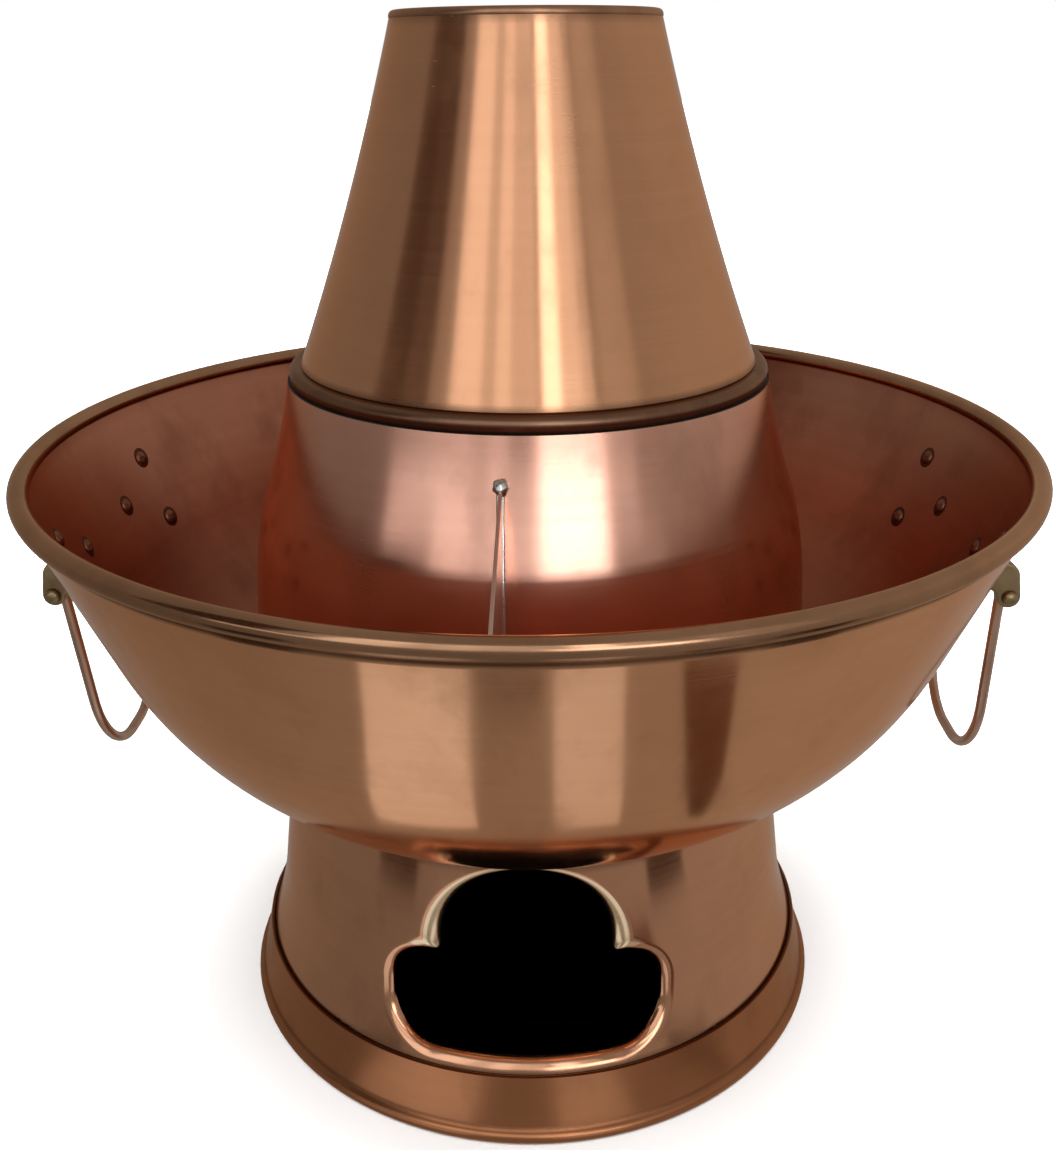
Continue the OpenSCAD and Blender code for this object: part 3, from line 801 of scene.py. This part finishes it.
def make_divider(name, node, end):
    """Upright plate across the moat, with softened edges."""
    bm = bmesh.new()
    half = DIVIDER_THICK / 2
    near, far = [[bm.verts.new(beside_axis(end, r, side, z) * MM) for r, z in divider_outline()]
                 for side in (-half, half)]
    join(bm, near, far)
    bm.faces.new(near)
    bm.faces.new(far)
    bmesh.ops.recalc_face_normals(bm, faces=bm.faces)
    sharp = [e for e in bm.edges if e.calc_face_angle(0) > 0.9 and e.calc_length() > 1.2 * MM]
    bmesh.ops.bevel(bm, geom=sharp, offset=0.25 * MM, segments=2, affect="EDGES")
    finish_piece(name, to_mesh(bm, name), [plate_skin], "pot", [node], 30)


def make_solder():
    """A lump of solder on each divider's top corner, and a thin uneven run of it down each seam."""
    blob_r = 2.25
    run_r, run_off, run_step, run_count = 0.62, 0.62, 1.1, 78
    bm = bmesh.new()
    for end in (-1, 1):
        made = bmesh.ops.create_icosphere(bm, subdivisions=4, radius=1.0)
        centre = beside_axis(end, tube_r(DIVIDER_TUBE_Z) + 0.9, 0.0, DIVIDER_TUBE_Z + 0.2)
        for v in made["verts"]:
            d = v.co.normalized()
            size = blob_r * (1 + 0.22 * noise.noise(d * 1.7 + Vector((end, 0, 3))))
            tall = 1.35 if d.z < 0 else 0.9
            v.co = (centre + Vector((d.x * 0.95, d.y * 0.95, d.z * tall)) * size) * MM
        heights = [DIVIDER_TUBE_Z - 1.5 - run_step * i for i in range(run_count)]
        for side in (-run_off, run_off):
            path, radii = [], []
            for z in heights:
                wander = noise.noise(Vector((z * 0.16, side * 9, end)))
                path.append(beside_axis(end, tube_r(z) + 0.25, side + 0.15 * wander, z))
                radii.append(run_r + 0.28 * wander)
            radii[-1] = 0.2
            swept(bm, path, radii, 8)
    finish_piece("solder", to_mesh(bm, "solder"), [solder_skin], "pot", ["divider_solder"], 60)


# ---------------------------------------------------------------- lugs, rivets and handles

PIVOT = (150.0, 158.0)
LUG_MID_Z = PIVOT[1] + 10
LUG_PLATE = 1.6
LUG_MID_Y = 33.75
RIVET_SPOTS = [(-14, 0), (7, 11), (7, -11)]  # across and up from the lug's middle
LEG_Y = 28.0  # half the distance between a handle's legs
WIRE_R = 1.7
DROP = 66.0
CORNER_R = 24.0
ELBOW_R = 3.0
PIN_END_Y = 36.4
PIN_HEAD = [(0.0, WIRE_R), (0.05, 2.05), (0.35, 2.3), (0.9, 2.2), (1.3, 1.6), (1.6, 0.6)]  # length, radius


def rounded_copy(node, name, material, body, voxel, rounds):
    """A cast piece: the CAD solid's shape with its edges softened, as a casting's are."""
    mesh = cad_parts[node].data.copy()
    mesh.materials.clear()
    piece = bpy.data.objects.new(name, mesh)
    bpy.context.scene.collection.objects.link(piece)
    remesh = piece.modifiers.new("grain", "REMESH")
    remesh.mode = "VOXEL"
    remesh.voxel_size = voxel * MM
    soften = piece.modifiers.new("soften", "SMOOTH")
    soften.iterations = rounds
    soften.factor = 0.5
    shape = piece.evaluated_get(bpy.context.evaluated_depsgraph_get())
    made = bpy.data.meshes.new_from_object(shape)
    bpy.data.objects.remove(piece)
    finish_piece(name, made, [material], body, [node], 180)


def rivet_places():
    """Point on the bowl's outer wall and outward direction of each rivet."""
    lug_turn = math.asin(LUG_MID_Y / wall_r(LUG_MID_Z))
    for side in (-1, 1):
        for end in (-1, 1):
            for across, up in RIVET_SPOTS:
                z = LUG_MID_Z + up
                turn = end * (lug_turn + across / wall_r(z))
                c, s = math.cos(turn), math.sin(turn)
                out = math.cos(WALL_LEAN)
                yield (Vector((side * wall_r(z) * c, wall_r(z) * s, z)),
                       Vector((side * out * c, out * s, -math.sin(WALL_LEAN))))


def add_dome(bm, base, axis, radius, height, slot=0, steps=7, sides=24, dent=0.0):
    """Hammered rivet head of that radius and height on base, along axis."""
    right = axis.orthogonal().normalized()
    up = axis.cross(right)
    rings = []
    for i in range(steps):
        a = math.radians(90 * i / steps)
        r, h = radius * math.cos(a), height * math.sin(a)
        ring = []
        for k in range(sides):
            t = 2 * math.pi * k / sides
            point = base + (right * math.cos(t) + up * math.sin(t)) * r + axis * h
            point += axis * dent * noise.noise(point * 0.9) * math.sin(a)
            ring.append(bm.verts.new(point * MM))
        rings.append(ring)
    for a, b in zip(rings, rings[1:]):
        join(bm, a, b, slot)
    tip = bm.verts.new((base + axis * height) * MM)
    for k in range(sides):
        bm.faces.new((rings[-1][k], rings[-1][(k + 1) % sides], tip)).material_index = slot
    bm.faces.new(rings[0][::-1]).material_index = slot


def make_rivets():
    """Rivets with domed heads inside and outside, each inside head in a thin ring of burnt scale."""
    bm = bmesh.new()
    for point, out in rivet_places():
        inside = point - out * SHEET
        add_dome(bm, point + out * (LUG_PLATE - 0.2), out, radius=2.9, height=1.5, dent=0.35)
        add_dome(bm, inside + out * 0.15, -out, radius=4.2, height=0.4, slot=1, steps=3, sides=32)
        add_dome(bm, inside, -out, radius=2.7, height=1.3, dent=0.3)
    skins = [rivet_skin, rivet_grime]
    finish_piece("rivets", to_mesh(bm, "rivets"), skins, "pot", ["lug_rivets"], 60)


def handle_path():
    """Half of a handle's centreline for y > 0, from the pin's end to the middle of its lower bar."""
    path = [Vector((0, PIN_END_Y - i * 0.6, 0)) for i in range(10)]
    for y, z in arc((LEG_Y + ELBOW_R, -ELBOW_R), ELBOW_R, 90, 180, 8):
        path.append(Vector((0, y, z)))
    leg_end = CORNER_R - DROP
    path += [Vector((0, LEG_Y, -ELBOW_R + (leg_end + ELBOW_R) * i / 12)) for i in range(1, 13)]
    for y, z in arc((LEG_Y - CORNER_R, leg_end), CORNER_R, 0, -90, 20)[1:]:
        path.append(Vector((0, y, z)))
    path.append(Vector((0, 0, -DROP)))
    return path


def make_handle(name, node, side, lean):
    """Drop handle of one bent wire with a head on each pin; lean is how far it hangs inwards, in degrees."""
    half = handle_path()
    whole = half + [Vector((0, -p.y, p.z)) for p in reversed(half[:-1])]
    turn = Matrix.Rotation(math.radians(side * lean), 3, "Y")
    at = Vector((side * PIVOT[0], 0, PIVOT[1]))
    bm = bmesh.new()
    swept(bm, [at + turn @ p for p in whole], [WIRE_R] * len(whole), 18)
    for end in (-1, 1):
        head = [at + Vector((0, end * (PIN_END_Y + along), 0)) for along, _ in PIN_HEAD]
        swept(bm, head, [r for _, r in PIN_HEAD], 22, 1)
    finish_piece(name, to_mesh(bm, name), [wire_skin, knob_skin], node, [node], 50)


# ---------------------------------------------------------------- build

make_bowl()
make_fire_tube()
make_seat()
make_chimney()
make_hem()
make_spigot()
make_skirt()
make_foot_band()
make_ash_floor()
make_divider("divider_plate_front", "divider_front", -1)
make_divider("divider_plate_back", "divider_back", 1)
make_solder()
for lug in ("left_front", "left_back", "right_front", "right_back"):
    rounded_copy("lug_" + lug, "cast_lug_" + lug, brass_skin, "pot", voxel=0.35, rounds=6)
make_rivets()
rounded_copy("charcoal_grate", "cast_grate", iron_skin, "grate", voxel=0.8, rounds=5)
make_handle("bail_left", "handle_left", -1, lean=6)
make_handle("bail_right", "handle_right", 1, lean=1)


# ---------------------------------------------------------------- floor, light and camera

CAMERA_TURN = 1.3  # degrees by which the camera stands to the right of the vent
CAMERA_AZIMUTH = math.radians(CAMERA_TURN - 90)
DAYLIGHT = (0.97, 1.03, 1.10)
CARD_BROWN = (1.0, 0.55, 0.36)
LIGHT_DISTANCE, CARD_DISTANCE = 1.5, 1.4
# The two bright panes that the bowl mirrors lie between these distances from the axis.
GLOW_NEAR, GLOW_FAR = 0.125, 0.24
GLOW_Z, CARD_Z = -0.004, -0.006
# Upright lights: name, left and right azimuth, lower and upper edge in metres, radiance.
SOFTBOXES = [
    ("left_low", -61, -40, 0.32, 0.47, 0.78),
    ("left_edge", -50, -40, 0.47, 1.8, 0.10),
    ("left_high", -40, -24, 0.32, 1.8, 0.80),
    ("left_gap", -24, -17, 0.32, 1.8, 0.46),
    ("front_left", -17, -9, 0.32, 1.8, 0.78),
    ("front_fill", -9, 4, 0.40, 1.8, 0.52),
    ("window_low", 4, 32, 0.32, 0.74, 2.2),
    ("window_high", 7.5, 17, 0.74, 1.8, 1.8),
    ("window_side", 32, 46, 0.32, 0.44, 0.45),
    ("right_high", 17.5, 28, 0.74, 1.8, 0.36),
    ("right_near", 37, 56, 0.44, 1.8, 0.14),
]


def around(azimuth, distance, z):
    """Point at a distance from the axis; azimuth in degrees runs to the right, seen from the camera."""
    a = CAMERA_AZIMUTH + math.radians(azimuth)
    return Vector((distance * math.cos(a), distance * math.sin(a), z))


def make_floor():
    """Pale matt table that casts its light on the pot but isn't mirrored in it."""
    n = Nodes("studio_floor")
    cloth = n.noise(n.position(), 6.0, 2.0)
    tint = n.mix(n.remap(cloth, 0.3, 0.7, 0.0, 1.0), (0.86, 0.855, 0.85, 1.0), (0.90, 0.897, 0.892, 1.0))
    n.set(Base_Color=tint, Roughness=0.9, Specular_IOR_Level=0.1)
    bpy.ops.mesh.primitive_circle_add(vertices=128, radius=9.0, fill_type="NGON")
    floor = bpy.context.object
    floor.name = "floor"
    floor.data.materials.append(n.material)
    floor.visible_glossy = False
    floor.visible_shadow = False


def softbox(name, left, right, low, high, radiance):
    """Upright light between two azimuths and two heights, facing the axis."""
    middle = (left + right) / 2
    width = 2 * LIGHT_DISTANCE * math.tan(math.radians((right - left) / 2))
    light = bpy.data.lights.new(name, "AREA")
    light.shape = "RECTANGLE"
    light.size = width
    light.size_y = high - low
    light.energy = 4 * radiance * width * (high - low)
    light.color = DAYLIGHT
    lamp = bpy.data.objects.new(name, light)
    lamp.location = around(middle, LIGHT_DISTANCE, (low + high) / 2)
    lamp.rotation_euler = (math.pi / 2, 0, CAMERA_AZIMUTH + math.radians(middle) + math.pi / 2)
    lamp.visible_camera = False
    bpy.context.scene.collection.objects.link(lamp)


def card(name, corners, material):
    """Four-cornered card that only reflections see."""
    mesh = bpy.data.meshes.new(name)
    mesh.from_pydata(corners, [], [(0, 1, 2, 3)])
    mesh.materials.append(material)
    sheet = bpy.data.objects.new(name, mesh)
    bpy.context.scene.collection.objects.link(sheet)
    sheet.visible_camera = False
    sheet.visible_diffuse = False
    sheet.visible_shadow = False


def dark_card(name, corners, tone):
    """Brown cloth that darkens what would be mirrored there."""
    n = Nodes(name + "_cloth")
    weave = n.noise(n.position(), 60.0, 2.0)
    cloth = n.mix(weave, shade(CARD_BROWN, tone * 0.8), shade(CARD_BROWN, tone * 1.2))
    card(name, corners, n.set(Base_Color=cloth, Roughness=1.0))


def glow_card(name, corners, radiance):
    """Card that glows evenly, like a window pane mirrored in the table."""
    n = Nodes(name + "_light")
    glow = {"Emission_Color": (*DAYLIGHT, 1.0), "Emission_Strength": radiance}
    card(name, corners, n.set(Base_Color=(0.0, 0.0, 0.0, 1.0), **glow))


def lying(near_span, near, far_span, far, z=CARD_Z):
    """Corners of a card on the table, from its span of azimuths at the near end to that at the far end."""
    spots = ((near_span[0], near), (near_span[1], near), (far_span[1], far), (far_span[0], far))
    return [around(azimuth, distance, z) for azimuth, distance in spots]


def standing(left, right, low, high):
    """Corners of an upright card."""
    spots = ((left, low), (right, low), (right, high), (left, high))
    return [around(azimuth, CARD_DISTANCE, z) for azimuth, z in spots]


def make_lights():
    """Softboxes all round, cards for what the pot mirrors, and soft light from overhead."""
    for box in SOFTBOXES:
        softbox(*box)
    dark_card("dark_left", standing(-80, -51, 0.50, 1.8), 0.035)
    dark_card("dark_floor_left", lying((-60, -43), 0.27, (-60, -43), 0.46), 0.015)
    dark_card("dark_floor_near_right", lying((44, 60), 0.27, (44, 60), 0.46), 0.015)
    dark_card("dark_floor_right", lying((45, 50), GLOW_NEAR, (29, 41), GLOW_FAR), 0.06)
    dark_card("dark_floor_front", lying((-11, 2), 0.211, (-11, 2), 0.226), 0.03)
    glow_card("glow_left", lying((-43, -14), GLOW_NEAR, (-33, -12), GLOW_FAR, GLOW_Z), 0.74)
    glow_card("glow_right", lying((6, 23), GLOW_NEAR, (4, 18), GLOW_FAR, GLOW_Z), 0.66)
    sun = bpy.data.lights.new("overhead", "SUN")
    sun.energy = 7.0
    sun.angle = math.radians(70)
    lamp = bpy.data.objects.new("overhead", sun)
    lamp.location = (0, 0, 2.6)
    lamp.visible_glossy = False
    bpy.context.scene.collection.objects.link(lamp)


def make_world():
    """White for the camera; for everything else a warm room, dimmer on the left and at the top."""
    world = bpy.data.worlds.new("studio")
    bpy.context.scene.world = world
    world.use_nodes = True
    tree = world.node_tree
    tree.nodes.clear()
    add, link = tree.nodes.new, tree.links.new
    coords = add("ShaderNodeTexCoord")
    parts = add("ShaderNodeSeparateXYZ")
    link(coords.outputs["Generated"], parts.inputs[0])

    def across(axis, low, high):
        made = add("ShaderNodeMapRange")
        link(parts.outputs[axis], made.inputs[0])
        for i, value in enumerate((-1.0, 1.0, low, high), start=1):
            made.inputs[i].default_value = value
        return made.outputs[0]

    def product(a, b):
        made = add("ShaderNodeMath")
        made.operation = "MULTIPLY"
        link(a, made.inputs[0])
        link(b, made.inputs[1])
        return made.outputs[0]

    strength = product(product(across("X", 0.72, 1.28), across("Y", 0.95, 1.15)), across("Z", 0.29, 0.26))
    room = add("ShaderNodeBackground")
    link(strength, room.inputs["Strength"])
    seen = add("ShaderNodeBackground")
    room.inputs["Color"].default_value = (1.0, 0.96, 0.90, 1.0)
    seen.inputs["Color"].default_value = (1.0, 1.0, 1.0, 1.0)
    path = add("ShaderNodeLightPath")
    pick = add("ShaderNodeMixShader")
    link(path.outputs["Is Camera Ray"], pick.inputs[0])
    link(room.outputs[0], pick.inputs[1])
    link(seen.outputs[0], pick.inputs[2])
    out = add("ShaderNodeOutputWorld")
    link(pick.outputs[0], out.inputs[0])


def make_camera():
    """Camera a little below the height of the chimney's mouth, looking down at the bowl."""
    distance, height = 0.3954, 0.3157
    pan, tilt, roll = CAMERA_TURN + 0.087, 90 - 22.69, -0.44
    data = bpy.data.cameras.new("camera")
    data.lens = 39.16
    data.sensor_width = 36.0
    data.clip_start = 0.01
    camera = bpy.data.objects.new("camera", data)
    bpy.context.scene.collection.objects.link(camera)
    camera.matrix_world = (
        Matrix.Translation(around(0, distance, height))
        @ Matrix.Rotation(math.radians(pan), 4, "Z")
        @ Matrix.Rotation(math.radians(tilt), 4, "X")
        @ Matrix.Rotation(math.radians(roll), 4, "Z"))
    bpy.context.scene.camera = camera


make_floor()
make_lights()
make_world()
make_camera()
bpy.context.scene.view_settings.view_transform = "Standard"
